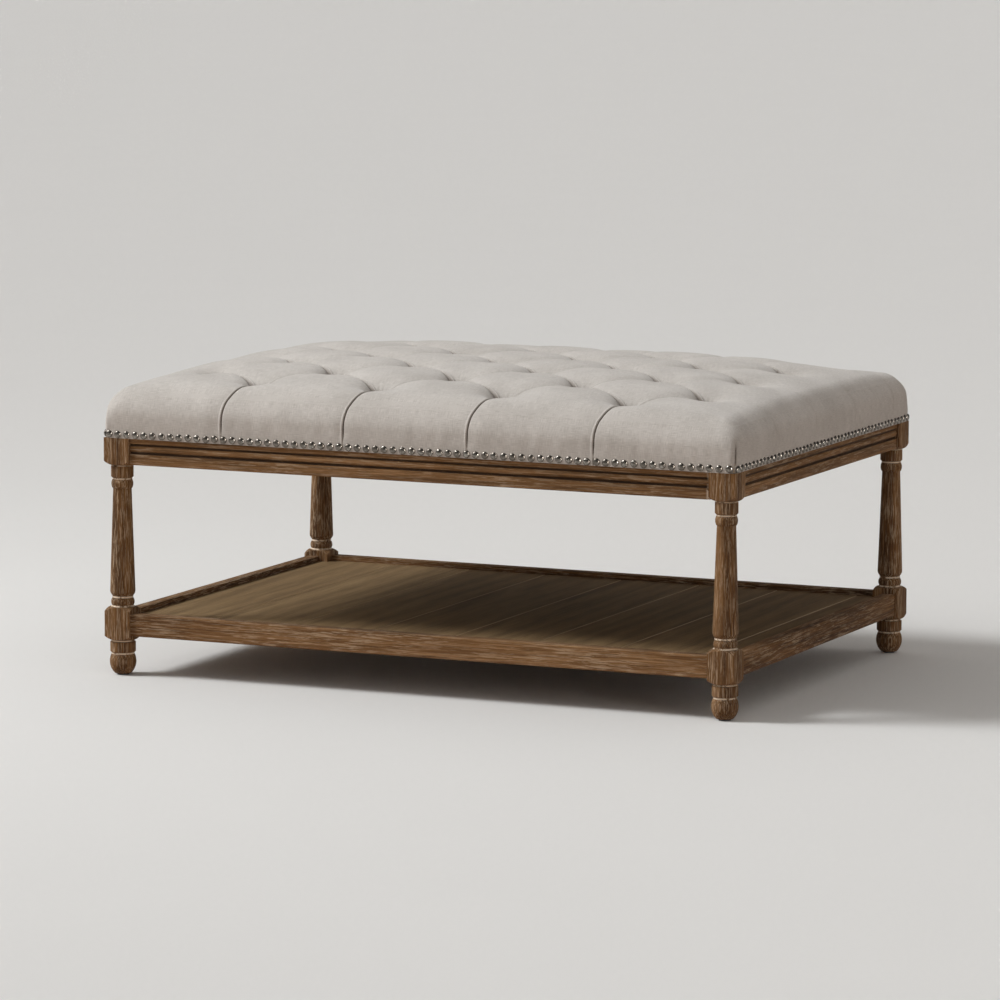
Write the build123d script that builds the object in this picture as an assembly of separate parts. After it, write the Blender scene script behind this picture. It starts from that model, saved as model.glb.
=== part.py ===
from build123d import *
import math
import os

os.makedirs("parts", exist_ok=True)

# An ottoman coffee table. A tufted, nail-trimmed cushion on a deck sits on a moulded apron
# with four turned legs, and a slatted shelf hangs between the lower leg blocks.
# Lengths are millimetres. The floor is z = 0 and the origin is midway between the legs.
# X runs along the long side, Y from front to back.

# Stance of the frame
leg_spacing_x = 961.0
leg_spacing_y = 683.4
block_side = 41.0
face_inset = 5.0

# Clearances and cuts
fit_gap = 0.3
cut_overrun = 5.0

# Turned leg, from the floor up
glide_diameter = 18.0
glide_height = 2.5
glide_recess = 1.0
glide_edge = 0.6
ball_base_diameter = 25.0
ball_height = 29.0
ball_swell = 4.8
ball_neck_diameter = 34.0
foot_groove_height = 2.0
foot_collar_diameter = 38.0
foot_collar_height = 17.5
collar_ease = 1.6
block_quirk_height = 1.0
block_neck_diameter = 33.0
lower_block_height = 51.0
lower_ring_diameter = 35.0
lower_ring_height = 10.5
ring_swell = 1.6
lower_groove_diameter = 31.0
lower_groove_height = 4.5
shaft_swell_height = 7.0
shaft_swell = 0.9
shaft_base_diameter = 37.5
shaft_taper_height = 153.5
shaft_top_diameter = 27.5
upper_ring_diameter = 32.5
upper_ring_height = 13.0
upper_groove_diameter = 29.5
upper_groove_height = 2.5
upper_collar_diameter = 33.5
upper_collar_height = 19.0
upper_block_height = 41.5
shoulder_height = 7.5
shoulder_swell = 1.8
block_edge_radius = 1.2

# Moulded apron, from its lower edge up
apron_thickness = 22.0
apron_board_height = 16.5
apron_reed_height = 10.0
apron_band_height = 8.0
apron_quirk_width = 2.5
apron_quirk_depth = 3.0
apron_edge_radius = 1.5

# Shelf
shelf_rail_height = 33.0
shelf_rail_thickness = 20.0
shelf_rail_edge_radius = 2.0
shelf_rail_below_block_top = 10.0
shelf_lip = 8.0
board_thickness = 12.0
left_board_width = 126.0
right_board_width = 46.0
middle_board_count = 6
board_bevel = 1.6
cleat_thickness = 14.0
cleat_height = 12.0
bearer_width = 40.0

# Joinery
tenon_length = 14.0
tenon_thickness = 8.0
tenon_shoulder = 6.0
brace_thickness = 22.0
brace_height = 30.0
brace_leg_gap = 3.0
bolt_diameter = 8.0
bolt_depth = 20.0
bolt_tail = 4.0
nut_width = 13.0
nut_height = 6.5
screw_diameter = 5.0
screw_head_width = 8.0
screw_head_height = 3.5
screw_bite = 8.0
screw_from_bolt = 17.0

# Seat, from the apron up
hem_width = 35.0
hem_thickness = 1.5
cover_thickness = 2.5
deck_thickness = 12.0
foam_thickness = 44.0
foam_edge_inset = 16.0
foam_edge_radius = 14.0
dust_cover_thickness = 0.8

# Cushion crown and edge
cushion_edge_height = 73.0
cushion_crown = 36.0
side_edge_radius = 24.0
front_edge_radius = 42.0
cushion_corner_radius = 12.0
along_crown_power = 4.5
across_crown_power = 3.4

# Diamond tufts: rows of four and five by turns, front to back
tuft_row_count = 8
long_row_tuft_count = 5
side_border = 107.0
front_border = 75.2
tuft_depth = 20.0
seam_depth = 7.0
pleat_depth = 3.0
pleat_width = 3.0
side_pleat_draw = 2.5
row_step_count = 4
border_knee_share = 0.38
border_rise_share = 0.55
border_pull_share = 0.25
smallest_bow = 0.08
edge_turn_count = 3
button_diameter = 12.0
dimple_slack = 0.6
button_height = 4.0
button_crown_share = 0.55

# Trim nails
nail_diameter = 11.0
nail_height = 3.0
nail_crown_share = 0.5
dome_side_count = 6
nail_pitch = 14.4
nail_above_apron = 6.2
nail_from_corner = 9.0

# Heights that follow from the stack
lower_block_bottom = (
    glide_height + ball_height + foot_groove_height + foot_collar_height + block_quirk_height
)
lower_block_top = lower_block_bottom + lower_block_height
upper_block_bottom = (
    lower_block_top
    + block_quirk_height
    + lower_ring_height
    + lower_groove_height
    + shaft_swell_height
    + shaft_taper_height
    + upper_ring_height
    + upper_groove_height
    + upper_collar_height
)
frame_top = upper_block_bottom + upper_block_height
apron_height = apron_board_height + apron_reed_height + apron_band_height + 2 * apron_quirk_width
apron_bottom = frame_top - apron_height
shelf_rail_bottom = lower_block_top - shelf_rail_below_block_top - shelf_rail_height
shelf_top = shelf_rail_bottom + shelf_rail_height - shelf_lip
board_bottom = shelf_top - board_thickness
deck_bottom = frame_top + hem_thickness
deck_top = deck_bottom + deck_thickness

# Half sizes of the plan
half_x = leg_spacing_x / 2
half_y = leg_spacing_y / 2
outer_x = half_x + block_side / 2
outer_y = half_y + block_side / 2
between_x = leg_spacing_x - block_side
between_y = leg_spacing_y - block_side
apron_in_x = outer_x - face_inset - apron_thickness
apron_in_y = outer_y - face_inset - apron_thickness
shelf_in_x = outer_x - face_inset - shelf_rail_thickness
shelf_in_y = outer_y - face_inset - shelf_rail_thickness
dimple_width = button_diameter + dimple_slack
tuft_pitch = 2 * (outer_x - side_border) / (long_row_tuft_count - 1)
row_pitch = 2 * (outer_y - front_border) / (tuft_row_count - 1)

corners = {
    "front_left": (-1, -1),
    "front_right": (1, -1),
    "back_left": (-1, 1),
    "back_right": (1, 1),
}
# Each side: the turn that brings the front there, and whether it is a long side.
sides = {"front": (0, True), "right": (90, False), "back": (180, True), "left": (-90, False)}


def save(shape, name):
    export_step(shape, f"parts/{name}.step")


def block_between(x, y, z):
    """A box from pairs of lower and upper bounds."""
    size = Box(x[1] - x[0], y[1] - y[0], z[1] - z[0], align=(Align.MIN, Align.MIN, Align.MIN))
    return Pos(x[0], y[0], z[0]) * size


def turned(start_radius, start_height, moves):
    """A solid of revolution; each move is its rise, its end radius and how far it swells."""
    radius, height = start_radius, start_height
    edges = [Line((0, height), (radius, height))]
    for rise, end_radius, swell in moves:
        here, there = (radius, height), (end_radius, height + rise)
        if swell == 0:
            edges.append(Line(here, there))
        else:
            middle = ((radius + end_radius) / 2 + swell, height + rise / 2)
            edges.append(ThreePointArc(here, middle, there))
        radius, height = there
    edges.append(Line((radius, height), (0, height)))
    edges.append(Line((0, height), (0, start_height)))
    return revolve(Plane.XZ * make_face(edges), Axis.Z)


# Legs

def bead(height, edge_diameter, swell):
    return [(height, edge_diameter / 2, swell)]


def collar(height, diameter, neck_diameter):
    """A turned band with both edges bevelled into narrower necks."""
    ease = min(collar_ease, height / 3)
    return [
        (ease, diameter / 2, 0),
        (height - 2 * ease, diameter / 2, 0),
        (ease, neck_diameter / 2, 0),
    ]


def leg_turning():
    ring_edge = lower_ring_diameter - 2 * ring_swell
    upper_ring_edge = upper_ring_diameter - 2 * ring_swell
    moves = [
        (ball_height, ball_neck_diameter / 2, ball_swell),
        (foot_groove_height, ball_neck_diameter / 2, 0),
        *collar(foot_collar_height, foot_collar_diameter, block_neck_diameter),
        (block_quirk_height + lower_block_height, block_neck_diameter / 2, 0),
        (block_quirk_height, ring_edge / 2, 0),
        *bead(lower_ring_height, ring_edge, ring_swell),
        (0, lower_groove_diameter / 2, 0),
        (lower_groove_height, lower_groove_diameter / 2, 0),
        (shaft_swell_height, shaft_base_diameter / 2, shaft_swell),
        (shaft_taper_height, shaft_top_diameter / 2, 0),
        (0, upper_ring_edge / 2, 0),
        *bead(upper_ring_height, upper_ring_edge, ring_swell),
        (0, upper_groove_diameter / 2, 0),
        (upper_groove_height, upper_groove_diameter / 2, 0),
        *collar(upper_collar_height, upper_collar_diameter, upper_groove_diameter),
        (upper_block_height, upper_groove_diameter / 2, 0),
    ]
    return turned(ball_base_diameter / 2, glide_height, moves)


def leg_block(bottom, height, shoulder_above):
    """A square block whose corners are turned away towards the round work beside it."""
    post = Rectangle(block_side, block_side)
    post = fillet(post.vertices(), block_edge_radius)
    post = Pos(0, 0, bottom) * extrude(post, height)
    reach = block_side / math.sqrt(2)
    shoulder = min(shoulder_height, height / 3)
    moves = [(shoulder, reach, shoulder_swell), (height - shoulder, reach, 0)]
    if shoulder_above:
        moves = [
            (shoulder, reach, shoulder_swell),
            (height - 2 * shoulder, reach, 0),
            (shoulder, block_neck_diameter / 2, shoulder_swell),
        ]
    return post & turned(block_neck_diameter / 2, bottom, moves)


def tenons(span, thickness_centre, bottom, height, grow):
    """The tenon boxes at both ends of a front rail, grown on every side for a mortise."""
    half = span / 2
    y = (thickness_centre - tenon_thickness / 2 - grow, thickness_centre + tenon_thickness / 2 + grow)
    z = (bottom + tenon_shoulder - grow, bottom + height - tenon_shoulder + grow)
    reach = half + tenon_length + grow
    return block_between((-reach, -half + grow), y, z) + block_between((half - grow, reach), y, z)


def on_side(side, shape):
    """Carry a shape made for the front, its outer face at y = 0, to one side of the frame."""
    turn, is_long = sides[side]
    reach = outer_y if is_long else outer_x
    return Rot(0, 0, turn) * Pos(0, -(reach - face_inset), 0) * shape


def side_span(side):
    return between_x if sides[side][1] else between_y


def apron_tenons(side, grow):
    shape = tenons(side_span(side), apron_thickness / 2, apron_bottom, apron_height, grow)
    return on_side(side, shape)


def shelf_rail_tenons(side, grow):
    shape = tenons(
        side_span(side), shelf_rail_thickness / 2, shelf_rail_bottom, shelf_rail_height, grow
    )
    return on_side(side, shape)


def bolt_place(side_x, side_y):
    """The frame of a corner bolt: its Z axis runs from the leg's inner corner into the room."""
    corner = (side_x * between_x / 2, side_y * between_y / 2, frame_top - brace_height / 2)
    return Plane(origin=corner, z_dir=(-side_x, -side_y, 0))


def make_leg(name):
    side_x, side_y = corners[name]
    leg = leg_turning()
    leg += leg_block(lower_block_bottom, lower_block_height, True)
    leg += leg_block(upper_block_bottom, upper_block_height, False)
    leg -= Cylinder(glide_diameter / 2 + fit_gap, 2 * (glide_height + glide_recess))
    leg = Pos(side_x * half_x, side_y * half_y, 0) * leg
    long_side = "front" if side_y < 0 else "back"
    short_side = "left" if side_x < 0 else "right"
    for side in (long_side, short_side):
        leg -= apron_tenons(side, fit_gap)
        leg -= shelf_rail_tenons(side, fit_gap)
    bore = Cylinder(bolt_diameter / 2 + fit_gap, 2 * (bolt_depth + fit_gap))
    leg -= bolt_place(side_x, side_y) * bore
    return leg


def make_glide(name):
    """A nylon glide let into the foot, its rim bevelled where it meets the floor."""
    side_x, side_y = corners[name]
    rim = glide_diameter / 2
    moves = [(glide_edge, rim, 0), (glide_height + glide_recess - glide_edge, rim, 0)]
    return Pos(side_x * half_x, side_y * half_y, 0) * turned(rim - glide_edge, 0, moves)


# Apron and shelf rails

def apron_profile():
    """The moulded section: a board, a reed between two quirks, and a band on top."""
    ease = apron_edge_radius
    quirk = apron_quirk_depth
    reed_bottom = apron_board_height + apron_quirk_width
    reed_top = reed_bottom + apron_reed_height
    band_bottom = reed_top + apron_quirk_width
    corner = ease * (1 - 1 / math.sqrt(2))
    return [
        Line((apron_thickness, apron_height), (apron_thickness, 0)),
        Line((apron_thickness, 0), (ease, 0)),
        ThreePointArc((ease, 0), (corner, corner), (0, ease)),
        Line((0, ease), (0, apron_board_height)),
        Line((0, apron_board_height), (quirk, apron_board_height)),
        Line((quirk, apron_board_height), (quirk, reed_bottom)),
        ThreePointArc((quirk, reed_bottom), (0, (reed_bottom + reed_top) / 2), (quirk, reed_top)),
        Line((quirk, reed_top), (quirk, band_bottom)),
        Line((quirk, band_bottom), (0, band_bottom)),
        Line((0, band_bottom), (0, apron_height - ease)),
        ThreePointArc(
            (0, apron_height - ease), (corner, apron_height - corner), (ease, apron_height)
        ),
        Line((ease, apron_height), (apron_thickness, apron_height)),
    ]


def run_along_x(profile_edges, length):
    """Extrude a section drawn as depth and height along X, centred."""
    section = Plane.YZ * make_face(profile_edges)
    return Pos(-length / 2, 0, 0) * extrude(section, length, dir=(1, 0, 0))


def make_apron(side):
    rail = Pos(0, 0, apron_bottom) * run_along_x(apron_profile(), side_span(side))
    return on_side(side, rail) + apron_tenons(side, 0)


def make_shelf_rail(side):
    profile = Pos(shelf_rail_thickness / 2, shelf_rail_height / 2) * Rectangle(
        shelf_rail_thickness, shelf_rail_height
    )
    outer = profile.vertices().sort_by(Axis.X)[:2]
    profile = fillet(outer, shelf_rail_edge_radius)
    rail = extrude(Plane.YZ * profile, side_span(side), dir=(1, 0, 0))
    rail = Pos(-side_span(side) / 2, 0, shelf_rail_bottom) * rail
    return on_side(side, rail) + shelf_rail_tenons(side, 0)


# Shelf

def board_edges():
    """The X of every board edge, left to right."""
    first = -shelf_in_x + left_board_width
    last = shelf_in_x - right_board_width
    pitch = (last - first) / middle_board_count
    middle = [first + pitch * i for i in range(middle_board_count + 1)]
    return [-shelf_in_x] + middle + [shelf_in_x]


def make_board(left, right):
    """One shelf board, bevelled along its long top edges and notched round the legs."""
    bevel = board_bevel
    outline = Polyline(
        (left, board_bottom),
        (right, board_bottom),
        (right, shelf_top - bevel),
        (right - bevel, shelf_top),
        (left + bevel, shelf_top),
        (left, shelf_top - bevel),
        close=True,
    )
    board = Plane.XZ * make_face(outline)
    board = Pos(0, shelf_in_y, 0) * extrude(board, 2 * shelf_in_y, dir=(0, -1, 0))
    for side_x, side_y in corners.values():
        notch = Box(block_side + 2 * fit_gap, block_side + 2 * fit_gap, 2 * (shelf_top + fit_gap))
        board -= Pos(side_x * half_x, side_y * half_y, 0) * notch
    return board


def make_cleat(side):
    length = side_span(side) - 2 * fit_gap
    strip = block_between(
        (-length / 2, length / 2),
        (shelf_rail_thickness, shelf_rail_thickness + cleat_thickness),
        (board_bottom - cleat_height, board_bottom),
    )
    return on_side(side, strip)


def make_bearer():
    reach = shelf_in_x - cleat_thickness
    return block_between(
        (-reach, reach), (-bearer_width / 2, bearer_width / 2), (board_bottom - cleat_height, board_bottom)
    )


# Corner braces with their bolts and screws

def make_brace(name):
    """A mitred block across each corner, drilled for its bolt and two screws."""
    side_x, side_y = corners[name]
    leg_corner = (apron_in_x - between_x / 2) + (apron_in_y - between_y / 2)
    near = leg_corner + brace_leg_gap * math.sqrt(2)
    far = near + brace_thickness * math.sqrt(2)
    outline = Polyline(
        (side_x * (apron_in_x - near), side_y * apron_in_y),
        (side_x * (apron_in_x - far), side_y * apron_in_y),
        (side_x * apron_in_x, side_y * (apron_in_y - far)),
        (side_x * apron_in_x, side_y * (apron_in_y - near)),
        close=True,
    )
    brace = extrude(make_face(outline), brace_height, dir=(0, 0, 1))
    brace = Pos(0, 0, frame_top - brace_height) * brace
    reach = brace_leg_gap + brace_thickness + cut_overrun
    hole = Cylinder(bolt_diameter / 2 + fit_gap, 2 * reach)
    brace -= bolt_place(side_x, side_y) * hole
    for place in screw_places(side_x, side_y):
        brace -= Pos(*place) * screw_hole()
    return brace


def make_bolt(name):
    side_x, side_y = corners[name]
    reach = brace_leg_gap + brace_thickness + nut_height + bolt_tail
    rod = Cylinder(
        bolt_diameter / 2, bolt_depth + reach, align=(Align.CENTER, Align.CENTER, Align.MIN)
    )
    return bolt_place(side_x, side_y) * Pos(0, 0, -bolt_depth) * rod


def make_nut(name):
    side_x, side_y = corners[name]
    nut = RegularPolygon(nut_width / 2, 6, major_radius=False) - Circle(bolt_diameter / 2 + fit_gap)
    nut = extrude(nut, nut_height)
    return bolt_place(side_x, side_y) * Pos(0, 0, brace_leg_gap + brace_thickness) * nut


def make_screw():
    """A lag screw standing head down, its head against the brace's lower face."""
    length = brace_height + hem_thickness + screw_bite
    shank = Cylinder(
        screw_diameter / 2, length, align=(Align.CENTER, Align.CENTER, Align.MIN)
    )
    head = extrude(RegularPolygon(screw_head_width / 2, 6, major_radius=False), screw_head_height)
    return shank + Pos(0, 0, -screw_head_height) * head


def screw_hole():
    """The hole for a screw, from below the brace to just past the tip."""
    depth = cut_overrun + brace_height + hem_thickness + screw_bite + fit_gap
    hole = Cylinder(
        screw_diameter / 2 + fit_gap, depth, align=(Align.CENTER, Align.CENTER, Align.MIN)
    )
    return Pos(0, 0, -cut_overrun) * hole


def screw_places(side_x, side_y):
    """Two screws in each brace, one each side of its bolt."""
    place = bolt_place(side_x, side_y)
    inward = brace_leg_gap + brace_thickness / 2
    along = Vector(side_x, -side_y, 0).normalized() * screw_from_bolt
    centre = place.origin + place.z_dir * inward
    bottom = Vector(0, 0, frame_top - brace_height - centre.Z)
    return [tuple(centre + bottom + along), tuple(centre + bottom - along)]


# Deck, foam and dust cover

def deck_half():
    return outer_x - cover_thickness - fit_gap, outer_y - cover_thickness - fit_gap


def make_deck():
    x, y = deck_half()
    deck = block_between((-x, x), (-y, y), (deck_bottom, deck_top))
    for side_x, side_y in corners.values():
        for place in screw_places(side_x, side_y):
            deck -= Pos(*place) * screw_hole()
    return deck


def foam_block(grow):
    """The foam, with its upper edges rounded, on the deck."""
    x, y = outer_x - foam_edge_inset + grow, outer_y - foam_edge_inset + grow
    foam = block_between((-x, x), (-y, y), (deck_top, deck_top + foam_thickness + grow))
    return fillet(foam.edges().group_by(Axis.Z)[-1], foam_edge_radius)


def make_dust_cover():
    """A thin sheet under the deck, its corners cut off inside the braces."""
    x, y = outer_x - hem_width - fit_gap, outer_y - hem_width - fit_gap
    brace_edge = half_x + half_y - block_side - (brace_leg_gap + brace_thickness) * math.sqrt(2)
    sheet = Rectangle(2 * x, 2 * y)
    sheet = chamfer(sheet.vertices(), x + y - brace_edge)
    return Pos(0, 0, deck_bottom - dust_cover_thickness) * extrude(sheet, dust_cover_thickness)


# Tufted cover. It is one ruled loft from front to back. Every section is a chain of arcs, one
# for each column of diamonds, that widen and close again as the rows pass, so that the seams
# run diagonally from tuft to tuft.

def crest(x, y):
    """The height of the puffed top before any tuft is pulled down."""
    along = 1 - min(abs(x) / outer_x, 1) ** along_crown_power
    across = 1 - min(abs(y) / outer_y, 1) ** across_crown_power
    return frame_top + cushion_edge_height + cushion_crown * along * across


def row_place(row):
    return -outer_y + front_border + row * row_pitch


def tufts():
    """The plan position of every tuft, with long rows at every second row."""
    places = []
    for row in range(tuft_row_count):
        for x in tuft_places(long_row_tuft_count - 1 + row % 2):
            places.append((x, row_place(row)))
    return places


def tuft_places(count):
    return [(i - (count - 1) / 2) * tuft_pitch for i in range(count)]


def rounded_in(distance, radius):
    """How far a rounded edge has fallen at a distance in from its face."""
    if distance >= radius:
        return 0
    return radius - math.sqrt(max(0, radius ** 2 - (radius - distance) ** 2))


def even_share(row):
    """One where the even columns are widest, none where they close at a tuft."""
    return abs(row % 2 - 1)


def cover_section(y, row, pull):
    """One section of the cover across the table at y.

    The row number may be a fraction. The pull is one at the tufts' rows and falls to none at
    the front and back faces, where the seams run on as shallow pleats.
    """
    even = even_share(row)
    seam = seam_depth + (tuft_depth - seam_depth) * abs(2 * even - 1) ** 2
    seam = pleat_depth + (seam - pleat_depth) * pull
    face_fall = rounded_in(outer_y - abs(y), front_edge_radius)
    side_fall = max(side_edge_radius, face_fall)
    half_columns = long_row_tuft_count - 1

    closed = pleat_width + (dimple_width - pleat_width) * pull

    def open_share(column):
        return even if column % 2 == 0 else 1 - even

    def top(x, depth):
        return crest(x, y) - depth - face_fall

    points = []
    middles = []
    sink = pleat_depth + (tuft_depth - pleat_depth) * pull
    for column in range(-half_columns, half_columns + 1):
        x = column * tuft_pitch / 2
        share = open_share(column)
        wide = closed + (tuft_pitch - 2 * closed) * share
        middles.append((x, top(x, sink * (1 - share) ** 3)))
        if column < half_columns:
            edge = x + wide / 2
            points.append((edge, top(edge, seam)))
    skirt = outer_x - rounded_in(outer_y - abs(y), cushion_corner_radius)
    face = skirt - side_pleat_draw * (1 - even) * pull
    rim = outer_x - side_edge_radius
    knee = half_columns * tuft_pitch / 2 + closed / 2
    knee += even * border_knee_share * (rim - knee)
    knee_depth = seam * (1 - even)
    pleat = pleat_depth * (1 - even) * pull
    corner = 1 - 1 / math.sqrt(2)
    turn_x = face - corner * (face - rim)
    turn_fall = corner * (side_fall - face_fall)
    border_x = (knee + rim) / 2
    last_x = (points[-1][0] + knee) / 2
    middles[-1] = (last_x, top(last_x, sink * (1 - even) ** 3))
    middles[0] = (-last_x, middles[-1][1])
    right = [
        (knee, top(knee, knee_depth)),
        (rim, top(rim, pleat)),
        (face, crest(face, y) - side_fall),
    ]
    right_middles = [
        (border_x, top(border_x, knee_depth * (1 - border_rise_share))),
        (turn_x, top(turn_x, turn_fall + pleat / 2)),
    ]
    nodes = mirrored(right) + points + right
    bows = mirrored(right_middles) + middles + right_middles
    edges = [bow(*places) for places in zip(nodes[:-1], bows, nodes[1:])]
    below = [(skirt, skirt_top()), (skirt, frame_top), (-skirt, frame_top), (-skirt, skirt_top())]
    edges.extend(Polyline(nodes[-1], *below, nodes[0]).edges())
    place = Plane(origin=(0, y, 0), x_dir=(1, 0, 0), z_dir=(0, -1, 0))
    return place * Wire(edges)


def skirt_top():
    """Where the upright strip that the nails go through ends and the sides may draw in."""
    return frame_top + nail_above_apron + nail_diameter


def mirrored(places):
    return [(-x, z) for x, z in reversed(places)]


def bow(here, middle, there):
    """An arc through three places, or a line where they are in line."""
    chord = Vector(*there) - Vector(*here)
    offset = abs((Vector(*middle) - Vector(*here)).cross(chord).Z) / chord.length
    if offset < smallest_bow:
        return Line(here, there)
    return ThreePointArc(here, middle, there)


def section_places():
    """The y, row number and pull of every section, front to back."""
    last = tuft_row_count - 1
    places = []
    turns = [math.sin(math.pi / 2 * i / edge_turn_count) for i in range(edge_turn_count + 1)]
    rim = outer_y - front_edge_radius
    front = [-(rim + front_edge_radius * t) for t in reversed(turns)]
    for y in front:
        places.append((y, 0, 0))
    half_border = (front_border + front_edge_radius) / 2
    places.append((-outer_y + half_border, 0, border_pull_share))
    for row in range(tuft_row_count):
        places.append((row_place(row) - dimple_width / 2, row, 1))
        places.append((row_place(row) + dimple_width / 2, row, 1))
        if row < last:
            gap = row_pitch - dimple_width
            for i in range(1, row_step_count):
                share = i / row_step_count
                y = row_place(row) + dimple_width / 2 + gap * share
                places.append((y, row + share, 1))
    places.append((outer_y - half_border, last, border_pull_share))
    for y in reversed(front):
        places.append((-y, last, 0))
    return places


def make_cover():
    sections = [cover_section(*place) for place in section_places()]
    cover = Solid.make_loft(sections, ruled=True)
    x, y = outer_x - cover_thickness, outer_y - cover_thickness
    cover -= block_between((-x, x), (-y, y), (deck_bottom, deck_top))
    cover -= foam_block(fit_gap)
    hem_x, hem_y = outer_x - hem_width, outer_y - hem_width
    cover -= block_between(
        (-hem_x, hem_x), (-hem_y, hem_y), (frame_top - cut_overrun, deck_bottom + fit_gap)
    )
    for x in tuft_places(long_row_tuft_count - 1):
        cover -= pleat_cut(x, -outer_y)
    for x in tuft_places(long_row_tuft_count):
        cover -= pleat_cut(x, outer_y)
    return cover


def pleat_cut(x, y):
    """A narrow wedge that carries a seam down an upright face to the nails."""
    half = pleat_width / 2
    inward = -math.copysign(pleat_depth, y)
    outline = Polyline((x - half, y), (x + half, y), (x, y + inward), close=True)
    wedge = extrude(make_face(outline), cushion_edge_height + cushion_crown, dir=(0, 0, 1))
    return Pos(0, 0, skirt_top()) * wedge


def button_seat(x, y):
    """Just above the highest corner of the dimple's floor."""
    near_x = max(abs(x) - dimple_width / 2, 0)
    near_y = max(abs(y) - dimple_width / 2, 0)
    return crest(near_x, near_y) - tuft_depth + fit_gap


def domed(diameter, height, crown_share):
    """A low dome with few faces: a rim that leans in to a smaller flat crown."""
    base = RegularPolygon(diameter / 2, dome_side_count)
    crown = Pos(0, 0, height) * RegularPolygon(diameter * crown_share / 2, dome_side_count)
    return loft([base.face(), crown.face()], ruled=True)


def make_buttons():
    dome = domed(button_diameter, button_height, button_crown_share)
    return Compound([Pos(x, y, button_seat(x, y)) * dome for x, y in tufts()])


def make_nails(side):
    """A close row of domed nail heads along one side of the cover."""
    is_long = sides[side][1]
    reach = outer_x if is_long else outer_y
    span = 2 * (reach - nail_from_corner)
    count = round(span / nail_pitch)
    head = domed(nail_diameter, nail_height, nail_crown_share)
    heads = []
    for i in range(count + 1):
        along = -span / 2 + span * i / count
        place = Plane(
            origin=(along, -face_inset, frame_top + nail_above_apron), z_dir=(0, -1, 0)
        )
        heads.append(on_side(side, place * head))
    return Compound(heads)


def main():
    for name in corners:
        save(make_leg(name), f"leg_{name}")
        save(make_glide(name), f"foot_glide_{name}")
        save(make_brace(name), f"corner_brace_{name}")
    for side in sides:
        save(make_apron(side), f"apron_{side}")
        save(make_shelf_rail(side), f"shelf_rail_{side}")
        save(make_cleat(side), f"shelf_cleat_{side}")
        save(make_nails(side), f"trim_nails_{side}")
    edges = board_edges()
    for number, (left, right) in enumerate(zip(edges[:-1], edges[1:]), start=1):
        save(make_board(left, right), f"shelf_board_{number}")
    save(make_bearer(), "shelf_bearer")
    save(Compound([make_bolt(name) for name in corners]), "corner_bolts")
    save(Compound([make_nut(name) for name in corners]), "corner_nuts")
    screws = []
    for side_x, side_y in corners.values():
        for place in screw_places(side_x, side_y):
            screws.append(Pos(*place) * make_screw())
    save(Compound(screws), "deck_screws")
    save(make_deck(), "seat_deck")
    save(foam_block(0), "foam_pad")
    save(make_dust_cover(), "dust_cover")
    save(make_cover(), "cushion_cover")
    save(make_buttons(), "tuft_buttons")


main()
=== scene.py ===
# %% [markdown]
# # A tufted ottoman coffee table
# The joiner's work arrives as a frame of exact solids: turned legs, moulded aprons, shelf
# boards. This lesson dresses it. It sews the tufted cushion, sets the trim nails, stretches
# the dust cover, and gives every surface its wood, cloth or metal. All lengths are metres, in
# the frame's own axes: X right, Y back, Z up, the floor at zero.

# %% Load the frame
import math

import bpy
import numpy as np
from mathutils import Matrix, Vector


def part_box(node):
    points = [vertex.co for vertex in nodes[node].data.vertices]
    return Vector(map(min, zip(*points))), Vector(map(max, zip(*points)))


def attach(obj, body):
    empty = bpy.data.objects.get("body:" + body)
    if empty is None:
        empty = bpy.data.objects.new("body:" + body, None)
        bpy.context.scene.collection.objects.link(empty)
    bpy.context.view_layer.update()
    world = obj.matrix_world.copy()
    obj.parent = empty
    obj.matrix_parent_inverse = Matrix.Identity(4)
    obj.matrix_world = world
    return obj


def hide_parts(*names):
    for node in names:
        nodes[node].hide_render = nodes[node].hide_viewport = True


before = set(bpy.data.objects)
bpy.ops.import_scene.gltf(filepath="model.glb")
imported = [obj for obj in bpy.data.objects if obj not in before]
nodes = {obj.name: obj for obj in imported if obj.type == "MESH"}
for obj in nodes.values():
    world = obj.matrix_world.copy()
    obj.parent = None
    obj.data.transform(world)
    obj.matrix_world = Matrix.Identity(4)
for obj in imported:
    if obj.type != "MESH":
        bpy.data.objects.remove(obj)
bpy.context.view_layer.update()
MM = 0.001
CLOSE = 1e-6
TINY = 1e-9
rng = np.random.default_rng(7)


# %% [markdown]
# ## The camera
# The table was photographed from low and to its right with a long lens, which keeps its far
# end nearly as large as its near one. Place and lens were worked out from where the feet,
# blocks and rail ends fall in the picture. The camera's aim is written as a turn about the
# vertical, a dip and a slight roll.

# %% Camera
LENS_MM = 205.07
SENSOR_MM = 36.0
CAMERA_PLACE = Vector((3.399, -7.777, 1.356))
CAMERA_TURN = math.radians(23.73)
CAMERA_DIP = math.radians(7.44)
CAMERA_ROLL = math.radians(0.24)


def add_object(name, data):
    added = bpy.data.objects.new(name, data)
    bpy.context.scene.collection.objects.link(added)
    return added


def make_camera():
    data = bpy.data.cameras.new("camera")
    data.lens = LENS_MM
    data.sensor_width = SENSOR_MM
    camera = add_object("camera", data)
    turn = Matrix.Rotation(CAMERA_TURN, 4, "Z")
    dip = Matrix.Rotation(math.pi / 2 - CAMERA_DIP, 4, "X")
    roll = Matrix.Rotation(CAMERA_ROLL, 4, "Z")
    camera.matrix_world = Matrix.Translation(CAMERA_PLACE) @ turn @ dip @ roll
    bpy.context.scene.camera = camera
    return camera


camera = make_camera()
print("camera at", tuple(round(v, 3) for v in camera.matrix_world.translation))

# %% [markdown]
# ## Writing shaders as sums
# A finish is a graph of nodes, but a formula is easier to read. `Signal` wraps one output
# socket, so that `grain * 0.4 + 0.1` adds the Math nodes itself. `Graph` has one method,
# `node`, for every other kind of node, and `Finish` is the graph of a material.

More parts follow.
